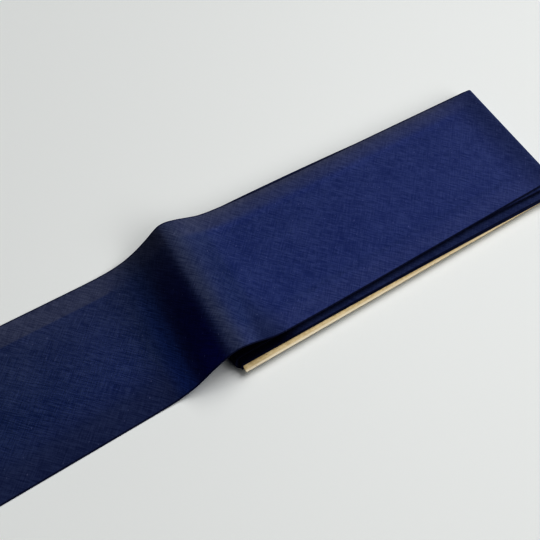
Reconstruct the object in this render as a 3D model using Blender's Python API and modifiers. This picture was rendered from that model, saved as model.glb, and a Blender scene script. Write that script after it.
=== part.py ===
"""Hem-facing bias tape wound flat on a card, with its outer end loose.

The tape is one strip. From its inner end it goes round the card in flat turns. The last run crosses the
top of the bundle, stands up in a rounded ridge over the bundle's left end, and drops to the surface,
where it lies flat. The card reaches out past the tape on the near side.

Metres, +Z up. X runs along the tape, and -Y is the near side. The origin is on the surface, under the
middle of the whole.
"""

import math
from collections import namedtuple

import bmesh
import bpy

MM = 0.001

# Tape
TAPE_WIDTH = 48.0 * MM
HEM_WIDTH = 6.8 * MM
HEM_STEP = 0.4 * MM  # the slope where the folded edge ends, on the tape's back
CLOTH = 1.0 * MM  # the sheet between its hems
HEMMED = 1.08 * MM  # the sheet where an edge is folded under
BETWEEN_TURNS = 0.08 * MM
PITCH = HEMMED + BETWEEN_TURNS

# Where the flat turns fold back
LEFT_FOLD = -22.85 * MM
RIGHT_FOLD = 109.0 * MM
INNER_END = 108.6 * MM

# Card
CARD_THICK = 0.8 * MM
CARD_WIDTH = 50.0 * MM
CARD_CLEAR = 0.3 * MM
CARD_YAW = math.radians(-0.82)
CARD_Y = -1.2 * MM
CARD_SHORT_OF_FOLD = 0.1 * MM  # the card ends this far inside each fold's own axis
CARD_BEVEL = 0.12 * MM
CARD_BEVEL_SEGMENTS = 2

# Heights of the turns' outer faces, from the surface up
BOTTOM_OUTER = 0.0
BOTTOM_INNER = BOTTOM_OUTER + PITCH
CARD_UNDERSIDE = BOTTOM_INNER + HEMMED + CARD_CLEAR
TOP_INNER = CARD_UNDERSIDE + CARD_THICK + CARD_CLEAR + HEMMED
TOP_MIDDLE = TOP_INNER + PITCH
TOP_OUTER = TOP_MIDDLE + PITCH

# The flat runs in the order in which they are wound, from the inner end out. y_from and y_to place the
# tape's middle line at the run's two ends, and drift is how far its right part strays to the near side.
Run = namedtuple("Run", "height x_from x_to y_from y_to drift")
RUNS = (
    Run(TOP_INNER, INNER_END, LEFT_FOLD, -2.7 * MM, 1.1 * MM, 0.0),
    Run(BOTTOM_INNER, LEFT_FOLD, RIGHT_FOLD, 1.1 * MM, 1.17 * MM, 0.0),
    Run(TOP_MIDDLE, RIGHT_FOLD, LEFT_FOLD, 2.07 * MM, 2.6 * MM, 0.9 * MM),
    Run(BOTTOM_OUTER, LEFT_FOLD, RIGHT_FOLD, 2.6 * MM, 2.07 * MM, 0.0),
)
DRIFT_STARTS = 60.0 * MM

# The loose run, from the right-hand fold to the cut end: how high its upper face is along the bundle. Its
# left part is the ridge, where the old fold still stands up, and the tail on the surface.
Level = namedtuple("Level", "x height")
LOOSE = (
    Level(RIGHT_FOLD, TOP_OUTER),
    Level(30.0 * MM, TOP_OUTER),
    Level(13.0 * MM, 7.2 * MM),
    Level(2.0 * MM, 7.65 * MM),
    Level(-6.5 * MM, 8.4 * MM),
    Level(-10.5 * MM, 9.2 * MM),
    Level(-15.0 * MM, 11.3 * MM),
    Level(-19.5 * MM, 13.6 * MM),
    Level(-23.2 * MM, 14.5 * MM),
    Level(-26.0 * MM, 13.6 * MM),
    Level(-29.8 * MM, 10.0 * MM),
    Level(-35.5 * MM, 5.4 * MM),
    Level(-39.8 * MM, 3.1 * MM),
    Level(-44.5 * MM, 1.75 * MM),
    Level(-50.0 * MM, 1.22 * MM),
    Level(-56.0 * MM, HEMMED),
    Level(-112.5 * MM, HEMMED),
)
LOOSE_Y_RIGHT = 2.07 * MM
LOOSE_Y_LEFT = 2.55 * MM
TAIL_Y = 2.3 * MM
TAIL_STARTS = -48.0 * MM

# A swell along the tape is 0 up to start, 1 between full_from and full_to, and 0 again from end.
Swell = namedtuple("Swell", "size start full_from full_to end")
# The ridge leans: its near end stands further left than its far end.
LEAN = Swell(3.0 * MM, -50.0 * MM, -27.0 * MM, -20.0 * MM, 10.0 * MM)
# Its near edge is drawn in a little too.
DRAWN_IN = Swell(1.2 * MM, -26.6 * MM, -21.0 * MM, -16.5 * MM, -3.6 * MM)

# How finely the sheet is divided
FOLD_STEPS = 12
FLAT_STEP = 12.0 * MM
LOOSE_STEP = 6.0 * MM
BENT_STEP = 1.6 * MM
BENT_FROM = -58.0 * MM
BENT_TO = 12.0 * MM
MIDDLE_COLUMNS = 6

NAVY = (0.018, 0.028, 0.110, 1.0)
CLOTH_ROUGHNESS = 0.85
CREAM = (0.62, 0.50, 0.31, 1.0)
BOARD_ROUGHNESS = 0.8

# A place on the tape's route: along the bundle, the outer face's height, and the middle line's place.
Station = namedtuple("Station", "x height y")


def clear_scene():
    for obj in list(bpy.data.objects):
        bpy.data.objects.remove(obj, do_unlink=True)


def make_material(name, colour, roughness):
    material = bpy.data.materials.new(name)
    material.use_nodes = True
    shader = material.node_tree.nodes["Principled BSDF"]
    shader.inputs["Base Color"].default_value = colour
    shader.inputs["Roughness"].default_value = roughness
    shader.inputs["Metallic"].default_value = 0.0
    return material


def ease(t):
    """A smooth step from 0 to 1."""
    t = min(max(t, 0.0), 1.0)
    return t * t * (3.0 - 2.0 * t)


def swell_at(swell, x):
    rise = ease((x - swell.start) / (swell.full_from - swell.start))
    fall = ease((swell.end - x) / (swell.end - swell.full_to))
    return swell.size * rise * fall


def tangents_of(levels):
    """Slopes at the levels of a smooth curve through them that makes no waves of its own."""
    slopes = [(b.height - a.height) / (b.x - a.x) for a, b in zip(levels, levels[1:])]
    tangents = [slopes[0]]
    for before, after in zip(slopes, slopes[1:]):
        turns = before * after <= 0.0
        tangents.append(0.0 if turns else 2.0 * before * after / (before + after))
    return tangents + [slopes[-1]]


def height_of_loose_run(x):
    levels = sorted(LOOSE)
    tangents = tangents_of(levels)
    i = max(0, min(len(levels) - 2, sum(x > level.x for level in levels) - 1))
    left, right = levels[i], levels[i + 1]
    wide = right.x - left.x
    t = (x - left.x) / wide
    ends = left.height + (right.height - left.height) * ease(t)
    return ends + wide * t * (1.0 - t) * ((1.0 - t) * tangents[i] - t * tangents[i + 1])


def flat_run(run):
    """Stations along one flat run, both of its ends among them."""
    steps = math.ceil(abs(run.x_to - run.x_from) / FLAT_STEP)
    stations = []
    for i in range(steps + 1):
        along = i / steps
        x = run.x_from + (run.x_to - run.x_from) * along
        y = run.y_from + (run.y_to - run.y_from) * along
        y -= run.drift * ease((x - DRIFT_STARTS) / (RIGHT_FOLD - DRIFT_STARTS))
        stations.append(Station(x, run.height, y))
    return stations


def fold_between(start, end, outward):
    """Stations round a half circle from one run to the next; outward is -1 at the left end."""
    radius = (end.height - start.height) / 2.0
    middle = (start.height + end.height) / 2.0
    stations = []
    for i in range(1, FOLD_STEPS):
        angle = math.pi * i / FOLD_STEPS
        x = start.x + outward * abs(radius) * math.sin(angle)
        y = start.y + (end.y - start.y) * ease(i / FOLD_STEPS)
        stations.append(Station(x, middle - radius * math.cos(angle), y))
    return stations


def loose_station(x):
    """A station of the loose run, whose middle line turns a little where the tail begins."""
    along = min((RIGHT_FOLD - x) / (RIGHT_FOLD - LEFT_FOLD), 1.0)
    y = LOOSE_Y_RIGHT + (LOOSE_Y_LEFT - LOOSE_Y_RIGHT) * along
    y += (TAIL_Y - LOOSE_Y_LEFT) * ease((LEFT_FOLD - x) / (LEFT_FOLD - TAIL_STARTS))
    return Station(x, height_of_loose_run(x), y)


def loose_run():
    """Stations from the right-hand fold over the ridge to the cut end, close together where it bends."""
    x, end = LOOSE[0].x, LOOSE[-1].x
    stations = []
    while x > end + BENT_STEP:
        stations.append(loose_station(x))
        rise = height_of_loose_run(x) - height_of_loose_run(x - BENT_STEP)
        bent = BENT_FROM < x < BENT_TO
        x -= BENT_STEP / math.hypot(1.0, rise / BENT_STEP) if bent else LOOSE_STEP
    return stations + [loose_station(end)]


def tape_route():
    """The whole route of the tape's outer face, and the index of the loose run's first station."""
    route = flat_run(RUNS[0])
    for row in RUNS[1:]:
        run = flat_run(row)
        outward = -1.0 if run[0].x < 0.0 else 1.0
        route += fold_between(route[-1], run[0], outward) + run
    loose = loose_run()
    route += fold_between(route[-1], loose[0], 1.0)
    return route + loose, len(route)


def tape_columns():
    """Places across the tape, and whether each lies in a hem."""
    half = TAPE_WIDTH / 2.0
    hem_ends = half - HEM_WIDTH
    inner = hem_ends - HEM_STEP
    columns = [(-half, True), (-hem_ends, True)]
    columns += [(inner * (2.0 * i / MIDDLE_COLUMNS - 1.0), False) for i in range(MIDDLE_COLUMNS + 1)]
    return columns + [(hem_ends, True), (half, True)]


def tape_point(station, across, loose):
    """A point of the outer face. Only the loose run leans and is drawn in."""
    if not loose:
        return (station.x, station.y + across, station.height)
    near = 0.5 - across / TAPE_WIDTH
    lean = near * swell_at(LEAN, station.x)
    drawn = near * near * swell_at(DRAWN_IN, station.x)
    return (station.x - lean, station.y + across + drawn, station.height)


def make_tape(collection, material):
    route, loose_start = tape_route()
    columns = tape_columns()
    last_row, last_column = len(route) - 1, len(columns) - 1
    bm = bmesh.new()
    bmesh.ops.create_grid(bm, x_segments=last_row, y_segments=last_column, size=0.5)
    hem_weight = bm.verts.layers.deform.verify()
    for vert in bm.verts:
        row = round((vert.co.x + 0.5) * last_row)
        across, in_hem = columns[round((vert.co.y + 0.5) * last_column)]
        vert.co = tape_point(route[row], across, row >= loose_start)
        vert[hem_weight][0] = 1.0 if in_hem else CLOTH / HEMMED
    bmesh.ops.reverse_faces(bm, faces=bm.faces)
    mesh = bpy.data.meshes.new("bias_tape")
    bm.to_mesh(mesh)
    bm.free()
    mesh.shade_smooth()
    mesh.materials.append(material)
    tape = bpy.data.objects.new("bias_tape", mesh)
    collection.objects.link(tape)
    tape.vertex_groups.new(name="hem")
    sheet = tape.modifiers.new("Sheet", "SOLIDIFY")
    sheet.thickness = HEMMED
    sheet.offset = -1.0
    sheet.use_even_offset = True
    sheet.vertex_group = "hem"
    return tape


def make_card(collection, material):
    left = LEFT_FOLD + CARD_SHORT_OF_FOLD
    right = RIGHT_FOLD - CARD_SHORT_OF_FOLD
    bpy.ops.mesh.primitive_cube_add(size=1.0)
    card = bpy.context.active_object
    card.name = "winding_card"
    card.data.name = "winding_card"
    for vert in card.data.vertices:
        vert.co.x *= right - left
        vert.co.y *= CARD_WIDTH
        vert.co.z *= CARD_THICK
    card.location = ((left + right) / 2.0, CARD_Y, CARD_UNDERSIDE + CARD_THICK / 2.0)
    card.rotation_euler = (0.0, 0.0, CARD_YAW)
    bevel = card.modifiers.new("Worn edges", "BEVEL")
    bevel.width = CARD_BEVEL
    bevel.segments = CARD_BEVEL_SEGMENTS
    card.data.materials.append(material)
    for other in card.users_collection:
        other.objects.unlink(card)
    collection.objects.link(card)
    return card


def main():
    clear_scene()
    collection = bpy.data.collections.new("bundle_of_bias_tape")
    bpy.context.scene.collection.children.link(collection)
    make_tape(collection, make_material("navy_cloth", NAVY, CLOTH_ROUGHNESS))
    make_card(collection, make_material("cream_board", CREAM, BOARD_ROUGHNESS))


main()
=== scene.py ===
# %% [markdown]
# # A bundle of bias tape on its card
#
# Bias tape is a long strip of plain-woven cloth, cut at 45 degrees to its threads so that it stretches
# round curves, with both long edges pressed under. This kind is hem facing: 48 mm wide, navy, wound flat
# round a cream card. Its loose end lies along the top, stands up where an old fold still holds, and drops
# to the table.
#
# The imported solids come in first. They fix where everything is, so each piece below is made straight in
# their frame: +X along the tape, +Y to the far side, +Z up, with the table at zero.

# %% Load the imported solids
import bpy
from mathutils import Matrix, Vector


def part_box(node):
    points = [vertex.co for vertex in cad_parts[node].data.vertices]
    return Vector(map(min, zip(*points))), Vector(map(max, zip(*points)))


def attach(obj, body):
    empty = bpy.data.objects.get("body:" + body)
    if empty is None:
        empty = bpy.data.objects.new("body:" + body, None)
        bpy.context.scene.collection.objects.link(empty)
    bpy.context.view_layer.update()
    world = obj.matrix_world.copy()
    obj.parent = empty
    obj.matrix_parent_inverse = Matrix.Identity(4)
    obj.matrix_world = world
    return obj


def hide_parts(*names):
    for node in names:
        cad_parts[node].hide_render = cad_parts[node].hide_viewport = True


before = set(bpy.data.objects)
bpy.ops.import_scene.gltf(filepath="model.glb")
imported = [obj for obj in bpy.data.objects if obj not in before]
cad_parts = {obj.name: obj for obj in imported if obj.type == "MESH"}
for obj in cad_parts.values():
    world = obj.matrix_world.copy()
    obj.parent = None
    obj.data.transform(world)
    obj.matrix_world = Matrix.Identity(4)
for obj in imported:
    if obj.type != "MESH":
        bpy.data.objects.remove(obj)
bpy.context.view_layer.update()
print("solids:", sorted(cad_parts))

# %% [markdown]
# Sizes in this lesson are millimetres, as a haberdasher would give them. Blender works in metres, so each
# size meets `MM` on its way into Blender.

# %% Units and the solids' sizes
import math
from collections import namedtuple

import bpy
import numpy as np
from mathutils import Quaternion, Vector

MM = 0.001
scene = bpy.context.scene


def box_in_mm(node):
    low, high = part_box(node)
    return low / MM, high / MM


tape_low, tape_high = box_in_mm("bias_tape")
card_low, card_high = box_in_mm("winding_card")
print("tape, mm:", [round(v, 2) for v in (*tape_low, *tape_high)])
print("card, mm:", [round(v, 2) for v in (*card_low, *card_high)])

# %% [markdown]
# ## The camera
#
# The photograph looks down on the bundle from its near side, close up. A camera takes a place, a point to
# aim at and a roll about its own axis. The picture is square, and a lens as long as the sensor is wide
# gives it a field of view of 53 degrees. These values were worked out from the tape's long edges and
# hems, which are parallel on the real thing and of known width.

# %% Camera
CAMERA_PLACE = Vector((-50.6, -54.76, 164.8))
CAMERA_AIM = Vector((2.34, 1.02, 0.0))
CAMERA_ROLL = math.radians(12.38)
LENS = 36.0

camera = bpy.data.objects.new("camera", bpy.data.cameras.new("camera"))
scene.collection.objects.link(camera)
camera.data.lens = LENS
camera.data.sensor_width = LENS
camera.data.clip_start = 1.0 * MM
camera.location = CAMERA_PLACE * MM
camera.rotation_mode = "QUATERNION"
looking = (CAMERA_AIM - CAMERA_PLACE).to_track_quat("-Z", "Y")
camera.rotation_quaternion = looking @ Quaternion((0.0, 0.0, 1.0), CAMERA_ROLL)
scene.camera = camera
print("camera is", round((CAMERA_AIM - CAMERA_PLACE).length), "mm from the table")

# %% [markdown]
# ## The light and the table
#
# The real bundle lies on a pale table by a window. The slope of the ridge that faces left is almost black
# and the shadows fall towards the near side and the left, so the window is high, behind the bundle and to
# its right. A large area lamp there gives the same soft-edged shadows. A weaker one on the near side
# stands for the room's pale walls, which lighten the shadow beside the card, and the world adds a trace of
# light from everywhere. Left of the bundle there is no lamp at all, which keeps the slope dark. Painted
# shade in the cloth's colour darkens it further.
#
# The photograph has deep darks beside a clean pale table. The view's Very High Contrast look does the same, so
# the cloth can keep the colour that navy cotton really has.

# %% Lamps
WINDOW_FROM = Vector((0.50, 0.16, 0.84))
WINDOW_AWAY = 3.2
WINDOW_SIZE = 2.1
WINDOW_POWER = 54.0
ROOM_FROM = Vector((0.35, -0.60, 0.72))
ROOM_AWAY = 1.8
ROOM_SIZE = 1.4
ROOM_POWER = 7.0
FILL = 0.02


def add_lamp(name, direction, away, size, power):
    data = bpy.data.lights.new(name, "AREA")
    data.shape = "SQUARE"
    data.size = size
    data.energy = power
    lamp = bpy.data.objects.new(name, data)
    scene.collection.objects.link(lamp)
    lamp.location = direction.normalized() * away
    lamp.rotation_euler = (-direction).to_track_quat("-Z", "Y").to_euler()


def add_fill(strength):
    world = bpy.data.worlds.new("room")
    world.use_nodes = True
    world.node_tree.nodes["Background"].inputs["Strength"].default_value = strength
    scene.world = world


add_lamp("window", WINDOW_FROM, WINDOW_AWAY, WINDOW_SIZE, WINDOW_POWER)
add_lamp("room", ROOM_FROM, ROOM_AWAY, ROOM_SIZE, ROOM_POWER)
add_fill(FILL)
scene.view_settings.view_transform = "Standard"
scene.view_settings.look = "Very High Contrast"

# %% [markdown]
# The table top isn't part of the bundle. A plane with a plain pale finish is enough for it: a quad added
# by `primitive_plane_add`.

# %% Table
TABLE_SIZE = 3.0
TABLE_BELOW = 0.03
TABLE_COLOUR = (0.86, 0.875, 0.865, 1.0)


def plain_finish(name, colour, roughness):
    material = bpy.data.materials.new(name)
    material.use_nodes = True
    shader = material.node_tree.nodes["Principled BSDF"]
    shader.inputs["Base Color"].default_value = colour
    shader.inputs["Roughness"].default_value = roughness
    return material


bpy.ops.mesh.primitive_plane_add(size=TABLE_SIZE, location=(0.0, 0.0, -TABLE_BELOW * MM))
table = bpy.context.active_object
table.name = "table_top"
table.data.materials.append(plain_finish("pale_table", TABLE_COLOUR, 0.6))

# %% [markdown]
# ## The strip of cloth
#
# One strip makes all the turns. The cloth is a quarter of a millimetre thick, and each long edge is folded
# to the back, so the hems are twice that. The section across the strip is a line with a small half circle
# at each edge, and it is swept along the strip's route below. A flat box would hide just what makes this
# tape what it is: the rounded folds that show as a stack of edges, and the line where each hem ends.
#
# A place in the section has four values: how far it lies across the finished tape, how deep under the
# outer face, where it lay across the flat cloth before folding, and how much of the middle's sinking it
# takes part in.

# %% The section across the strip
TAPE_WIDTH = 48.0
HEM = 6.8
CLOTH = 0.23
HEM_GAP = 0.02
OVER_STEP = 1.15
HALF = TAPE_WIDTH / 2.0
HEM_ENDS = HALF - HEM
TURN_RADIUS = (CLOTH + HEM_GAP) / 2.0
HEMMED = 2.0 * CLOTH + HEM_GAP

Place = namedtuple("Place", "across depth flat sinks")


def ease(t):
    """A smooth step from 0 to 1."""
    t = np.clip(t, 0.0, 1.0)
    return t * t * (3.0 - 2.0 * t)


def far_half_of_section():
    """From just past the middle, over the hem, round the fold and back under to the cut edge."""
    flat_end = HALF - TURN_RADIUS
    places = []
    steps = round(flat_end / OVER_STEP)
    marks = [HEM_ENDS - 2.0, HEM_ENDS - 1.3, HEM_ENDS - 0.6, HEM_ENDS, HEM_ENDS + 0.4]
    for across in sorted([flat_end * i / steps for i in range(1, steps + 1)] + marks):
        sinks = 1.0 - float(ease((across - HEM_ENDS + 2.2) / 2.4))
        places.append(Place(across, CLOTH / 2.0, across, sinks))
    for i in range(1, 5):
        angle = math.pi * i / 5.0
        across = flat_end + TURN_RADIUS * math.sin(angle)
        depth = CLOTH / 2.0 + TURN_RADIUS * (1.0 - math.cos(angle))
        places.append(Place(across, depth, flat_end + TURN_RADIUS * angle, 0.0))
    turned = flat_end + TURN_RADIUS * math.pi
    for i in range(5):
        back = (HEM - TURN_RADIUS) * i / 4.0
        depth = CLOTH / 2.0 + 2.0 * TURN_RADIUS
        places.append(Place(flat_end - back, depth, turned + back, 0.0))
    return places


far_half = far_half_of_section()
near_half = [Place(-p.across, p.depth, -p.flat, p.sinks) for p in reversed(far_half)]
section = near_half + [Place(0.0, CLOTH / 2.0, 0.0, 1.0)] + far_half

# %% [markdown]
# ## The route along the strip
#
# The tape was wound from its inner end: over the card, round its left end, back under it, round its right
# end, and so on. The card lies five turns up. The runs above it are a little looser than those below,
# which carry the weight. Each run is straight, and each fold is a half circle from one run to the next.
#
# Nobody winds tape perfectly, and the near side shows it: the first runs were wound askew and stick out
# further and further to the right, and the fifth slips out from under the last one. `left` and `right`
# place a run's middle line at its two ends, and `bow` bends it outwards between them.

# %% The wound runs
LEFT_FOLD = -22.7
SET_BACK = 1.1
RIGHT_FOLD = 109.0
INNER_END = 108.0
TOP = 7.04
TOP_GAP = 0.18

Lie = namedtuple("Lie", "left right bow")
ABOVE = (
    Lie(1.00, -3.15, 0.35),
    Lie(1.00, -2.60, 0.40),
    Lie(3.30, 2.60, 0.0),
    Lie(3.30, 2.40, 0.0),
    Lie(3.10, 0.00, 1.24),
)
BELOW = (
    Lie(0.10, 1.10, 0.0),
    Lie(0.30, 1.30, 0.2),
    Lie(0.60, 1.80, 0.0),
    Lie(0.90, 1.90, 0.1),
    Lie(1.20, 1.60, 0.0),
)
TURNS = len(ABOVE)
pitch_below = card_low.z / TURNS
pitch_above = (TOP - TOP_GAP - card_high.z) / (TURNS + 1)
print("pitch of the runs below and above:", round(pitch_below, 3), round(pitch_above, 3), "mm")

# %% [markdown]
# A station is one stop on the route: where the outer face is, the middle line's place, the direction out
# of the bundle, how much the middle sinks there, and whether the stop is on the loose run.

# %% Stations of runs and folds
FLAT_STEP = 6.0
FOLD_STEPS = 16
FOLD_POWER = 0.75
REACH_LEFT = 0.85
REACH_RIGHT = 1.08
LAST_SLACK = 0.32
SINK_EACH = 0.07

Station = namedtuple("Station", "x z y out_x out_z sink loose")


def lie_at(lie, x):
    t = (x - LEFT_FOLD) / (RIGHT_FOLD - LEFT_FOLD)
    return lie.left + (lie.right - lie.left) * t + lie.bow * 4.0 * t * (1.0 - t)


def run_stations(lie, height, x_from, x_to, out_z, sink):
    steps = round(abs(x_to - x_from) / FLAT_STEP)
    xs = [x_from + (x_to - x_from) * i / steps for i in range(steps + 1)]
    return [Station(x, height, lie_at(lie, x), 0.0, out_z, sink, False) for x in xs]


def fold_stations(start, end, outward, slack=0.0):
    """Stops between two runs' ends; outward is -1 at the left end of the bundle."""
    half = (end.z - start.z) / 2.0
    reach = abs(half) * (REACH_RIGHT if outward > 0.0 else REACH_LEFT) + slack
    middle = (end.z + start.z) / 2.0
    stations = []
    for i in range(1, FOLD_STEPS):
        t = i / FOLD_STEPS
        side, rise = math.sin(math.pi * t), -math.cos(math.pi * t)
        along_x = side**FOLD_POWER
        along_z = math.copysign(abs(rise) ** FOLD_POWER, rise)
        facing_x = outward * side ** (2.0 - FOLD_POWER) / reach
        facing_z = math.copysign(abs(rise) ** (2.0 - FOLD_POWER), rise) / half
        out = Vector((facing_x, facing_z)).normalized()
        x = start.x + (end.x - start.x) * t + outward * reach * along_x
        y = start.y + (end.y - start.y) * float(ease(t))
        sink = start.sink + (end.sink - start.sink) * float(ease(t))
        stations.append(Station(x, middle + half * along_z, y, out.x, out.y, sink, end.loose))
    return stations


def height_above(turn):
    return card_high.z + pitch_above * (turn + 1)


def height_below(turn):
    return pitch_below * (TURNS - 1 - turn)


def wound_stations():
    route = []
    for turn in range(TURNS):
        x_from = INNER_END if turn == 0 else RIGHT_FOLD
        sink = SINK_EACH * (turn + 1)
        above = run_stations(ABOVE[turn], height_above(turn), x_from, LEFT_FOLD, 1.0, sink)
        set_back = SET_BACK * turn / (TURNS - 1)
        below = run_stations(BELOW[turn], height_below(turn), LEFT_FOLD + set_back, RIGHT_FOLD, -1.0, 0.0)
        if route:
            route += fold_stations(route[-1], above[0], 1.0)
        route += above + fold_stations(above[-1], below[0], -1.0) + below
    return route


wound = wound_stations()
print(len(wound), "stations in the wound turns")

# %% [markdown]
# The loose run is the part that the photograph shows best. Its height comes from a short table of levels
# along the bundle, joined by a smooth curve: flat on the turns, up the back of the ridge, over the top,
# down the steep side and out along the table. The curve is a cubic through each pair of levels whose
# slopes are held back where the levels turn, so it makes no waves of its own.

# %% Levels of the loose run
Level = namedtuple("Level", "x height")
LEVELS = (
    Level(-112.5, HEMMED),
    Level(-56.0, HEMMED),
    Level(-50.0, 0.62),
    Level(-44.5, 1.10),
    Level(-39.8, 2.35),
    Level(-35.5, 4.60),
    Level(-29.8, 9.4),
    Level(-26.0, 13.3),
    Level(-24.5, 14.35),
    Level(-22.9, 14.5),
    Level(-19.5, 13.5),
    Level(-15.0, 11.3),
    Level(-10.5, 9.2),
    Level(-6.5, 8.4),
    Level(2.0, 7.65),
    Level(13.0, 7.2),
    Level(30.0, TOP),
    Level(RIGHT_FOLD, TOP),
)


def held_tangents(levels):
    slopes = [(b.height - a.height) / (b.x - a.x) for a, b in zip(levels, levels[1:])]
    inner = [0.0 if a * b <= 0.0 else 2.0 * a * b / (a + b) for a, b in zip(slopes, slopes[1:])]
    return [slopes[0]] + inner + [slopes[-1]]


def smooth_height(x):
    """Heights of the loose run's outer face at the places x, an array."""
    at = np.array([level.x for level in LEVELS])
    height = np.array([level.height for level in LEVELS])
    tangent = np.array(held_tangents(LEVELS))
    i = np.clip(np.searchsorted(at, x) - 1, 0, len(at) - 2)
    wide = at[i + 1] - at[i]
    t = (x - at[i]) / wide
    ends = height[i] + (height[i + 1] - height[i]) * t * t * (3.0 - 2.0 * t)
    return ends + wide * t * (1.0 - t) * ((1.0 - t) * tangent[i] - t * tangent[i + 1])


print("ridge", round(float(smooth_height(np.array([-23.2]))[0]), 1), "mm high")

# %% [markdown]
# The stops of the loose run are evenly spaced along the cloth, not along the table, so that the steep side
# of the ridge gets as many as the flats. A dense polyline is measured, and stops are read off it at equal
# lengths. Its normals come from the same polyline.

# %% Stations of the loose run
LOOSE_STEP = 1.0
LOOSE_Y = ((-112.5, 2.3), (-48.0, 2.3), (LEFT_FOLD, 2.55), (RIGHT_FOLD, 1.60))
SINK_LEVELS = ((-112.5, 0.24), (-52.0, 0.24), (-44.0, 0.10), (-10.0, 0.10), (12.0, 0.20), (95.0, 0.20), (109.0, 0.0))


def read_off(table, x):
    return np.interp(x, [row[0] for row in table], [row[1] for row in table])


def loose_stations():
    x = np.linspace(LEVELS[-1].x, LEVELS[0].x, 4000)
    z = smooth_height(x)
    along = np.concatenate([[0.0], np.cumsum(np.hypot(np.diff(x), np.diff(z)))])
    stops = np.linspace(0.0, along[-1], round(along[-1] / LOOSE_STEP) + 1)
    slope_x = np.interp(stops, along, np.gradient(x, along))
    slope_z = np.interp(stops, along, np.gradient(z, along))
    x = np.interp(stops, along, x)
    z = smooth_height(x)
    y = read_off(LOOSE_Y, x)
    sink = read_off(SINK_LEVELS, x)
    return [Station(*row, True) for row in zip(x, z, y, slope_z, -slope_x, sink)]


loose = loose_stations()
route = wound + fold_stations(wound[-1], loose[0], 1.0, LAST_SLACK) + loose
print(len(loose), "stations in the loose run,", len(route), "in all")

# %% [markdown]
# Two swells bend the ridge away from a plain extrusion, as in the photograph: its near end leans to the
# left, and its near edge is drawn in. A swell is zero up to its start, full between two places, and zero
# again from its end.

# %% Sweep the section along the route
Swell = namedtuple("Swell", "size start full_from full_to end")
LEAN = Swell(3.0, -50.0, -32.0, -31.0, -22.5)
DRAWN_IN = Swell(0.9, -36.0, -24.0, -23.5, -7.0)


def swell_at(swell, x):
    rise = ease((x - swell.start) / (swell.full_from - swell.start))
    fall = ease((swell.end - x) / (swell.end - swell.full_to))
    return swell.size * rise * fall


def swept_points(stations, places):
    """An array of points, a row for each station and a column for each place in the section."""
    stop = np.array(stations, dtype=float)
    place = np.array(places, dtype=float)
    x, z, y, out_x, out_z, sink, is_loose = (stop[:, i, None] for i in range(7))
    across, depth, _, sinks = (place[None, :, i] for i in range(4))
    depth = depth + sink * sinks
    near = 0.5 - across / TAPE_WIDTH
    lean = is_loose * near * swell_at(LEAN, x)
    drawn = is_loose * near * near * swell_at(DRAWN_IN, x)
    return np.stack([x - out_x * depth - lean, y + across + drawn, z - out_z * depth], axis=-1)


def lengths_along(stations):
    stop = np.array(stations, dtype=float)
    return np.concatenate([[0.0], np.cumsum(np.hypot(np.diff(stop[:, 0]), np.diff(stop[:, 1])))])


points = swept_points(route, section)
along = lengths_along(route)

# %% [markdown]
# The ridge's crest is greyer than the rest of the cloth. Part of that is real wear, where the folded threads stand
# up and rub and dust settles, and part is a painted sheen, the grey glint of the window on the crest. A marked
# place has a bell-shaped curve along the bundle, and the finish reads its height. A bell can run askew
# across the strip, though none does here. From the ridge out along the tail, the far half carries a painted sheen
# and the near half a painted shade. Two more bells are painted shade on the top run: one at the right end,
# darker towards the far corner, and one on the near side right of the crest. The inner turns carry painted
# shade all over for the recesses between the runs, and it is near black at their left end, deep under the ridge.

# %% Wear, painted sheen and painted shade along the strip
# A hump of wear, painted sheen or painted shade along the loose run.
Hump = namedtuple("Hump", "x reach trail most askew")
# The crest's grey: partly real wear, partly a painted sheen from the window.
CREST_WEAR_AND_SHEEN = Hump(-23.6, 2.2, 5.0, 0.85, 0.0)
# Painted shade on the top run: at the right end, darker towards the far corner, and on the near side right of the
# crest.
PAINTED_SHADE_RIGHT = Hump(113.0, 17.0, 17.0, 0.18, 0.0)
PAINTED_SHADE_NEAR = Hump(-12.5, 8.0, 9.0, 0.13, 0.0)
# Painted sheen towards the far edge and painted shade towards the near edge, from the ridge out along the tail.
TAIL_SHEEN_FAR, TAIL_SHADE_NEAR = 0.50, -0.30
TAIL_LIGHT_FROM, TAIL_LIGHT_TO = 0.0, -30.0
# A painted bluish glint at the foot of the steep side.
FOOT = ((-44.0, 0.0), (-38.5, 1.0), (-35.5, 1.0), (-31.0, 0.0))
# Painted shade on the steep side of the ridge, which faces away from the window.
STEEP = ((-36.0, 0.0), (-31.0, 1.0), (-27.0, 1.0), (-24.6, 0.0))
# How crisply and how strongly the hems' grey shows along the loose run. On the far hem that grey is mostly painted
# sheen.
CRISP_HEM = ((-49.0, 1.0), (-41.5, 0.0), (-32.0, 0.0), (-22.0, 0.6), (20.0, 0.0))
# Painted shade in the recesses between the inner turns, near black at their left end under the ridge.
INSIDE = -0.5
HIDDEN = -1.0
HIDDEN_FROM, HIDDEN_TO = 2.0, -10.0


def bell(marked, x, across):
    """A hump along x with its own reach to the left and to the right."""
    off = x - marked.x - marked.askew * across
    return marked.most * np.exp(-((off / np.where(off < 0.0, marked.reach, marked.trail)) ** 2))


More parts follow.
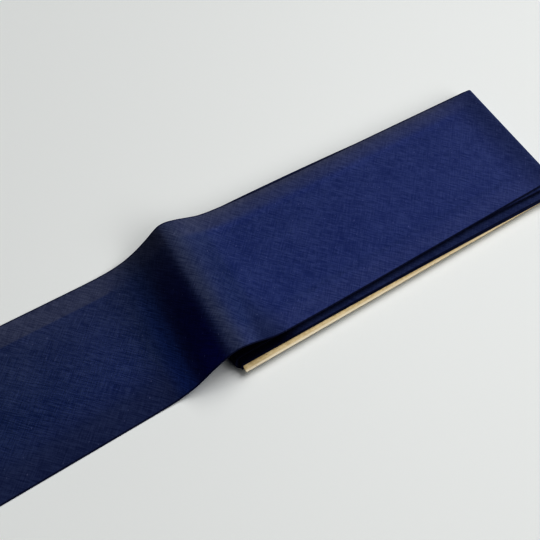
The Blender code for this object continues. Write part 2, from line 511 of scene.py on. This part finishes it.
def wear_and_light_of(stations, places):
    """1 is full rubbing or full painted sheen, 0 is as new, and below zero is painted shade: INSIDE on an inner
    turn, HIDDEN at its near-black left end.
    """
    x = np.array([station.x for station in stations])[:, None]
    is_loose = np.array([station.loose for station in stations])[:, None]
    across = np.array([place.across for place in places])[None, :]
    far = 0.5 + across / TAPE_WIDTH
    # Painted sheen on the far half, painted shade on the near half, left of the top run's middle.
    tail_light = (TAIL_SHADE_NEAR + (TAIL_SHEEN_FAR - TAIL_SHADE_NEAR) * far) * ease((x - TAIL_LIGHT_FROM) / (TAIL_LIGHT_TO - TAIL_LIGHT_FROM))
    # Painted shade pushes the value below zero, into the inner turns' dark tones.
    painted_shade = bell(PAINTED_SHADE_RIGHT, x, across) * (0.9 + 0.2 * far)
    painted_shade = painted_shade + bell(PAINTED_SHADE_NEAR, x, across) * np.clip(1.0 - far, 0.0, 1.0) ** 1.5
    on_loose = tail_light + (1.0 - tail_light) * bell(CREST_WEAR_AND_SHEEN, x, across) - painted_shade
    hidden = ease((x - HIDDEN_FROM) / (HIDDEN_TO - HIDDEN_FROM))
    on_inner = INSIDE + (HIDDEN - INSIDE) * hidden
    return np.where(is_loose, on_loose, on_inner)


def slope_and_hem_light_of(stations, places):
    """How much each point takes of the painted glint at the steep side's foot, of the painted shade on the steep
    side, and of a crisp hem.
    """
    x = np.array([station.x for station in stations])
    is_loose = np.array([station.loose for station in stations])
    far = np.clip(np.array([0.5 + place.across / TAPE_WIDTH for place in places]), 0.0, 1.0)
    kept = (1.0 - far**2)[None, :]
    foot = (is_loose * read_off(FOOT, x))[:, None] * kept
    steep = (is_loose * read_off(STEEP, x))[:, None] * kept
    crisp = np.broadcast_to((is_loose * read_off(CRISP_HEM, x))[:, None], foot.shape)
    return np.stack([foot, steep, crisp], axis=-1)


# %% [markdown]
# The grid of points becomes a mesh, and Solidify gives it the cloth's thickness, half to each side. Each
# point also keeps where it lay on the flat cloth. The weave is drawn in those flat coordinates, so it runs
# true through every fold, as threads do.

# %% The tape's mesh


def grid_mesh(name, grid):
    rows, columns, _ = grid.shape
    corner = np.arange(rows * columns).reshape(rows, columns)
    quads = np.stack([corner[:-1, :-1], corner[:-1, 1:], corner[1:, 1:], corner[1:, :-1]], axis=-1)
    mesh = bpy.data.meshes.new(name)
    mesh.from_pydata((grid.reshape(-1, 3) * MM).tolist(), [], quads.reshape(-1, 4).tolist())
    return mesh


def keep_vectors(mesh, name, kept):
    attribute = mesh.attributes.new(name, "FLOAT_VECTOR", "POINT")
    attribute.data.foreach_set("vector", kept.astype(np.float32).ravel())


def flat_places(lengths, marked, places):
    """A vector for each point: along the flat cloth, across it, and its mark: rubbing or painted sheen above zero,
    painted shade below.
    """
    flat = np.array([place.flat for place in places])
    return np.stack(np.broadcast_arrays(lengths[:, None], flat[None, :], marked), axis=-1)


def settle_modifiers(piece):
    """Turns what the modifiers show into the piece's own mesh."""
    shown = piece.evaluated_get(bpy.context.evaluated_depsgraph_get())
    mesh = bpy.data.meshes.new_from_object(shown)
    piece.modifiers.clear()
    piece.data = mesh
    return mesh


tape = bpy.data.objects.new("wound_tape", grid_mesh("wound_tape", points))
scene.collection.objects.link(tape)
keep_vectors(tape.data, "flat_cloth", flat_places(along, wear_and_light_of(route, section), section))
keep_vectors(tape.data, "slope_and_hem_light", slope_and_hem_light_of(route, section))
thick = tape.modifiers.new("Cloth", "SOLIDIFY")
thick.thickness = CLOTH * MM
thick.offset = 0.0
thick.use_even_offset = True
settle_modifiers(tape)
tape.data.shade_smooth()
tape.data.set_sharp_from_angle(angle=math.radians(60.0))
tape.data.calc_loop_triangles()
print("tape mesh:", len(tape.data.loop_triangles), "triangles")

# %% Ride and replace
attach(tape, "root")
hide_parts("bias_tape")

# %% [markdown]
# ## The cloth's finish
#
# The tape is a fine plain weave. At arm's length its threads can't be told apart: what shows is a faint
# cross-hatch of short streaks, where a thread is a little thicker or paler than its neighbours. An image
# of cloth would repeat, so the finish is worked out from the flat coordinates by nodes. A few helpers keep
# the node graph readable: each makes one node, feeds it, and returns its output.

# %% Helpers for node graphs


def new_finish(name, roughness):
    material = bpy.data.materials.new(name)
    material.use_nodes = True
    shader = material.node_tree.nodes["Principled BSDF"]
    shader.inputs["Roughness"].default_value = roughness
    return material, material.node_tree, shader


def feed(tree, socket, value):
    """Gives a socket another node's output, or a number or colour of its own."""
    if isinstance(value, bpy.types.NodeSocket):
        tree.links.new(value, socket)
    else:
        socket.default_value = value


def calc(tree, operation, *values):
    node = tree.nodes.new("ShaderNodeMath")
    node.operation = operation
    for socket, value in zip(node.inputs, values):
        feed(tree, socket, value)
    return node.outputs[0]


def spread(tree, value, low, high, to_low=0.0, to_high=1.0):
    """Carries low..high smoothly to to_low..to_high, and holds it there beyond."""
    node = tree.nodes.new("ShaderNodeMapRange")
    node.interpolation_type = "SMOOTHSTEP"
    for socket, given in zip(node.inputs, (value, low, high, to_low, to_high)):
        feed(tree, socket, given)
    return node.outputs[0]


def colour_between(tree, share, first, second, how="MIX"):
    node = tree.nodes.new("ShaderNodeMix")
    node.data_type = "RGBA"
    node.blend_type = how
    feed(tree, node.inputs[0], share)
    feed(tree, node.inputs[6], first)
    feed(tree, node.inputs[7], second)
    return node.outputs[2]


def noise(tree, x, y, detail=2.0):
    place = tree.nodes.new("ShaderNodeCombineXYZ")
    feed(tree, place.inputs[0], x)
    feed(tree, place.inputs[1], y)
    node = tree.nodes.new("ShaderNodeTexNoise")
    node.inputs["Scale"].default_value = 1.0
    node.inputs["Detail"].default_value = detail
    feed(tree, node.inputs["Vector"], place.outputs[0])
    return node.outputs["Fac"]


# %% [markdown]
# Threads run at 45 degrees to the tape, so their coordinates are the sum and the difference of the flat
# ones. Each set of threads gets its own streaks: noise that is stretched eight times along the thread.
# Two sizes of it are added, one for single threads and one for the slubs that stand out. Here and there a
# short knot of pale fibre is caught in the yarn. A third noise makes those: only its rare peaks count.

# %% Coordinates and streaks
THREAD = 0.34
STREAK_WIDE = 0.34
STREAK_LONG = 4.0
SLUB_WIDE = 0.60
SLUB_LONG = 9.0
WARP_SHARE = 1.22
WEFT_APART = 137.0
KNOT_WIDE = 0.55
KNOT_LONG = 1.0
KNOTS_FROM = 0.78
KNOTS_FULL = 0.86


def kept_vector(tree, name):
    """The three values that the mesh keeps under this name."""
    kept = tree.nodes.new("ShaderNodeAttribute")
    kept.attribute_name = name
    parts = tree.nodes.new("ShaderNodeSeparateXYZ")
    tree.links.new(kept.outputs["Vector"], parts.inputs[0])
    return parts.outputs


def thread_coordinates(tree):
    run, across, wear_and_light = kept_vector(tree, "flat_cloth")
    half_turn = math.sqrt(0.5)
    warp = calc(tree, "MULTIPLY", calc(tree, "ADD", run, across), half_turn)
    weft = calc(tree, "MULTIPLY", calc(tree, "SUBTRACT", run, across), half_turn)
    return run, across, wear_and_light, warp, weft


def streaks(tree, beside, along_thread, wide, long, detail=1.0):
    return noise(tree, calc(tree, "DIVIDE", beside, wide), calc(tree, "DIVIDE", along_thread, long), detail)


def both_ways(tree, warp, weft, wide, long):
    one_way = streaks(tree, warp, weft, wide, long)
    other_way = streaks(tree, calc(tree, "ADD", weft, WEFT_APART), warp, wide, long)
    one_way = calc(tree, "MULTIPLY", one_way, 2.0 - WARP_SHARE)
    return calc(tree, "ADD", one_way, calc(tree, "MULTIPLY", other_way, WARP_SHARE))


def knots(tree, warp, weft):
    peaks = streaks(tree, warp, weft, KNOT_WIDE, KNOT_LONG, 0.0)
    return spread(tree, peaks, KNOTS_FROM, KNOTS_FULL)


# %% [markdown]
# The base colour starts as navy, lighter or darker by the streaks and by broad soft patches. The hems are
# two layers pressed hard, and so a little greyer and paler. The far hem is greyer still, a painted sheen
# from the window behind it. Wear and the painted sheen on the crest and the tail's far half take the blue
# out, most from the threads that stand up. Painted shade darkens the inner turns (near black at their left
# end), the steep side of the ridge, the tail's near half, two places on the top run and a line where each
# edge turns under. The foot of the steep side gets a painted bluish glint. Each of these tones but the turn's
# line comes deep and pale, so the streaks go on through them, and pale knots go on top. For the relief, two
# crossed waves make the weave at its true pitch, and a Bump node turns their height and the streaks' into shading.

# %% Navy cloth
NAVY_TONES = ((0.018, 0.037, 0.082, 1.0), (0.064, 0.089, 0.150, 1.0))
HEM_AND_SHEEN_TONES = ((0.074, 0.083, 0.112, 1.0), (0.132, 0.143, 0.176, 1.0))
WEAR_AND_SHEEN_TONES = ((0.050, 0.063, 0.104, 1.0), (0.104, 0.119, 0.166, 1.0))
# Painted shade: the inner turns' tones, and near black for their left end.
INNER_SHADE_TONES = ((0.025, 0.037, 0.080, 1.0), (0.056, 0.074, 0.128, 1.0))
HIDDEN_SHADE_TONES = ((0.001, 0.001, 0.002, 1.0), (0.004, 0.004, 0.008, 1.0))
# Painted shade for the rounded edges where the cloth turns under.
TURN_SHADE = (0.010, 0.012, 0.022, 1.0)
# Painted glint for the foot of the steep side.
FOOT_GLINT_TONES = ((0.020, 0.044, 0.14, 1.0), (0.044, 0.084, 0.24, 1.0))
# Painted shade for the steep side.
STEEP_SHADE_TONES = ((0.004, 0.006, 0.07, 1.0), (0.008, 0.014, 0.13, 1.0))
KNOT = (0.22, 0.23, 0.32, 1.0)
GLOSS_TINT = (0.196, 0.23, 0.95, 1.0)
SOFT_HEM_FROM_CRISP = (15.8, 16.9)
SOFT_HEM_TO_CRISP = (20.0, 17.6)
HEM_NEAR_SOFT, HEM_NEAR_CRISP = 0.16, 0.30
# The far hem is greyer than the near one: a painted sheen from the window behind.
HEM_FAR_SOFT, HEM_FAR_CRISP = 0.52, 0.95
TURNS_FROM, TURNS_FULLY = 23.55, 23.85
TURNED_FROM, TURNED_FULLY = 24.5, 25.0
SMOOTH = 0.52
DULL = 0.95
RELIEF = 0.07


def navy_cloth():
    material, tree, shader = new_finish("navy_cloth", 0.55)
    shader.inputs["Specular IOR Level"].default_value = 1.0
    shader.inputs["Specular Tint"].default_value = GLOSS_TINT
    shader.inputs["Sheen Weight"].default_value = 0.02
    shader.inputs["Sheen Roughness"].default_value = 0.6
    run, across, wear_and_light, warp, weft = thread_coordinates(tree)
    wear_and_sheen = calc(tree, "MAXIMUM", wear_and_light, 0.0)

    fine = both_ways(tree, warp, weft, STREAK_WIDE, STREAK_LONG)
    slubs = both_ways(tree, warp, weft, SLUB_WIDE, SLUB_LONG)
    patches = noise(tree, calc(tree, "DIVIDE", run, 16.0), calc(tree, "DIVIDE", across, 11.0))
    tone = calc(tree, "ADD", calc(tree, "MULTIPLY", fine, 0.55), calc(tree, "MULTIPLY", slubs, 0.30))
    tone = calc(tree, "ADD", tone, calc(tree, "MULTIPLY", patches, 0.22))
    share = spread(tree, tone, 0.70, 1.22)
    navy = colour_between(tree, share, *NAVY_TONES)

    # The painted glint at the foot, the painted shade on the steep side, and the hems' crispness.
    at_foot, on_steep, crisp = kept_vector(tree, "slope_and_hem_light")
    from_hem = spread(tree, crisp, 0.0, 1.0, *SOFT_HEM_FROM_CRISP)
    to_hem = spread(tree, crisp, 0.0, 1.0, *SOFT_HEM_TO_CRISP)
    on_far = spread(tree, crisp, 0.0, 1.0, HEM_FAR_SOFT, HEM_FAR_CRISP)
    at_edge = spread(tree, across, to_hem, HALF, 0.0, calc(tree, "SUBTRACT", 1.0, on_far))
    on_far = spread(tree, across, from_hem, to_hem, 0.0, on_far)
    off_far = calc(tree, "MULTIPLY", across, -1.0)
    on_near = spread(tree, crisp, 0.0, 1.0, HEM_NEAR_SOFT, HEM_NEAR_CRISP)
    on_near = spread(tree, off_far, from_hem, to_hem, 0.0, on_near)
    on_hem = calc(tree, "ADD", calc(tree, "ADD", on_far, at_edge), on_near)
    # The hems' grey: pressed cloth, plus a painted sheen on the far hem.
    colour = colour_between(tree, on_hem, navy, colour_between(tree, share, *HEM_AND_SHEEN_TONES))
    # Wear, and the painted sheen on the crest and on the tail's far half, take on the greyer tones.
    colour = colour_between(tree, wear_and_sheen, colour, colour_between(tree, share, *WEAR_AND_SHEEN_TONES))
    # Painted shade on the inner turns, and darker still at their left end under the ridge.
    inner = spread(tree, wear_and_light, 0.0, 0.5 * INSIDE)
    colour = colour_between(tree, inner, colour, colour_between(tree, share, *INNER_SHADE_TONES))
    # Painted bluish glint at the foot of the steep side.
    colour = colour_between(tree, at_foot, colour, colour_between(tree, share, *FOOT_GLINT_TONES))
    # Painted shade on the steep side of the ridge.
    colour = colour_between(tree, on_steep, colour, colour_between(tree, share, *STEEP_SHADE_TONES))
    hidden = spread(tree, wear_and_light, INSIDE, HIDDEN)
    colour = colour_between(tree, hidden, colour, colour_between(tree, share, *HIDDEN_SHADE_TONES))
    off_middle = calc(tree, "ABSOLUTE", across)
    turns_in = spread(tree, off_middle, TURNS_FROM, TURNS_FULLY)
    turned = spread(tree, off_middle, TURNED_FROM, TURNED_FULLY)
    at_turn = calc(tree, "SUBTRACT", turns_in, turned)
    # Painted shade: a dark line where each long edge turns under.
    colour = colour_between(tree, calc(tree, "MULTIPLY", at_turn, 0.8), colour, TURN_SHADE)
    colour = colour_between(tree, calc(tree, "MULTIPLY", knots(tree, warp, weft), 0.4), colour, KNOT)
    tree.links.new(colour, shader.inputs["Base Color"])

    # Where the inner turns carry painted shade, they are also made rougher.
    inner_shade = calc(tree, "MAXIMUM", calc(tree, "MULTIPLY", inner, 0.7), hidden)
    dull = calc(tree, "MAXIMUM", wear_and_sheen, calc(tree, "MULTIPLY", on_hem, 0.6))
    dull = calc(tree, "MAXIMUM", dull, calc(tree, "MAXIMUM", inner_shade, at_turn))
    rough = spread(tree, dull, 0.0, 1.0, SMOOTH, DULL)
    uneven = spread(tree, share, 0.0, 1.0, 0.02, -0.02)
    tree.links.new(calc(tree, "ADD", rough, uneven), shader.inputs["Roughness"])

    over = calc(tree, "SINE", calc(tree, "MULTIPLY", warp, 2.0 * math.pi / THREAD))
    under = calc(tree, "SINE", calc(tree, "MULTIPLY", weft, 2.0 * math.pi / THREAD))
    weave = calc(tree, "MULTIPLY", over, under)
    height = calc(tree, "ADD", calc(tree, "MULTIPLY", weave, 0.25), fine)
    bump = tree.nodes.new("ShaderNodeBump")
    bump.inputs["Distance"].default_value = RELIEF * MM
    tree.links.new(height, bump.inputs["Height"])
    tree.links.new(bump.outputs["Normal"], shader.inputs["Normal"])
    return material


tape.data.materials.append(navy_cloth())
print("cloth: streaks", STREAK_WIDE, "by", STREAK_LONG, "mm")

# %% [markdown]
# ## The card's finish
#
# The card is cheap pulp board. Its face has yellowed behind the tape. A narrow rim along its cut edges is
# paler: partly the pale cut edge itself, and partly a painted highlight where the rounded edge catches the
# window. Towards the right end the rim fades, a painted shade from the runs of tape above. Pulp shows short
# fibres in every direction and a few brown flecks. The card is one of the imported solids, so it gets no mesh
# here, only this finish. Its object coordinates are the frame's own, in metres, and the card lies turned in
# them by less than a degree.

# %% Cream board
CARD_TURN = 0.014
CARD_MIDDLE = -0.58
CARD_HALF = 24.98
RIM_FROM = 0.95
RIM_FULLY = 0.25
BOARD_FACE = ((0.60, 0.48, 0.28, 1.0), (0.80, 0.67, 0.44, 1.0))
# The rim: pale cut edge plus a painted highlight.
BOARD_RIM_HIGHLIGHT = (0.88, 0.80, 0.63, 1.0)
BOARD_FLECK = (0.34, 0.24, 0.13, 1.0)


def cream_board():
    material, tree, shader = new_finish("cream_board", 0.8)
    place = tree.nodes.new("ShaderNodeTexCoord")
    parts = tree.nodes.new("ShaderNodeSeparateXYZ")
    tree.links.new(place.outputs["Object"], parts.inputs[0])
    x, y, z = [calc(tree, "DIVIDE", output, MM) for output in parts.outputs]

    pulp = noise(tree, calc(tree, "DIVIDE", x, 1.6), calc(tree, "DIVIDE", y, 0.7), 3.0)
    clouds = noise(tree, calc(tree, "DIVIDE", x, 14.0), calc(tree, "DIVIDE", y, 6.0))
    share = calc(tree, "ADD", calc(tree, "MULTIPLY", pulp, 0.6), calc(tree, "MULTIPLY", clouds, 0.4))
    face = colour_between(tree, spread(tree, share, 0.35, 0.65), *BOARD_FACE)

    turned = calc(tree, "ADD", y, calc(tree, "MULTIPLY", x, CARD_TURN))
    off_middle = calc(tree, "ABSOLUTE", calc(tree, "SUBTRACT", turned, CARD_MIDDLE))
    from_rim = calc(tree, "SUBTRACT", CARD_HALF, off_middle)
    uneven = calc(tree, "ADD", from_rim, calc(tree, "MULTIPLY", calc(tree, "SUBTRACT", pulp, 0.5), 0.5))
    # Painted highlight along the cut edges, weaker towards the right end as painted shade from the tape above.
    rim_highlight = calc(tree, "MULTIPLY", spread(tree, uneven, RIM_FROM, RIM_FULLY), spread(tree, x, 85.0, 0.0, 0.35, 1.0))
    colour = colour_between(tree, rim_highlight, face, BOARD_RIM_HIGHLIGHT)

    fleck = noise(tree, calc(tree, "DIVIDE", x, 0.9), calc(tree, "DIVIDE", y, 0.4), 0.0)
    colour = colour_between(tree, spread(tree, fleck, 0.74, 0.84, 0.0, 0.7), colour, BOARD_FLECK)
    tree.links.new(colour, shader.inputs["Base Color"])
    tree.links.new(spread(tree, pulp, 0.3, 0.7, 0.75, 0.88), shader.inputs["Roughness"])

    bump = tree.nodes.new("ShaderNodeBump")
    bump.inputs["Distance"].default_value = 0.04 * MM
    tree.links.new(pulp, bump.inputs["Height"])
    tree.links.new(bump.outputs["Normal"], shader.inputs["Normal"])
    return material


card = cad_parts["winding_card"]
card.data.materials.clear()
card.data.materials.append(cream_board())
print("card rim:", RIM_FULLY, "to", RIM_FROM, "mm from the cut edge")
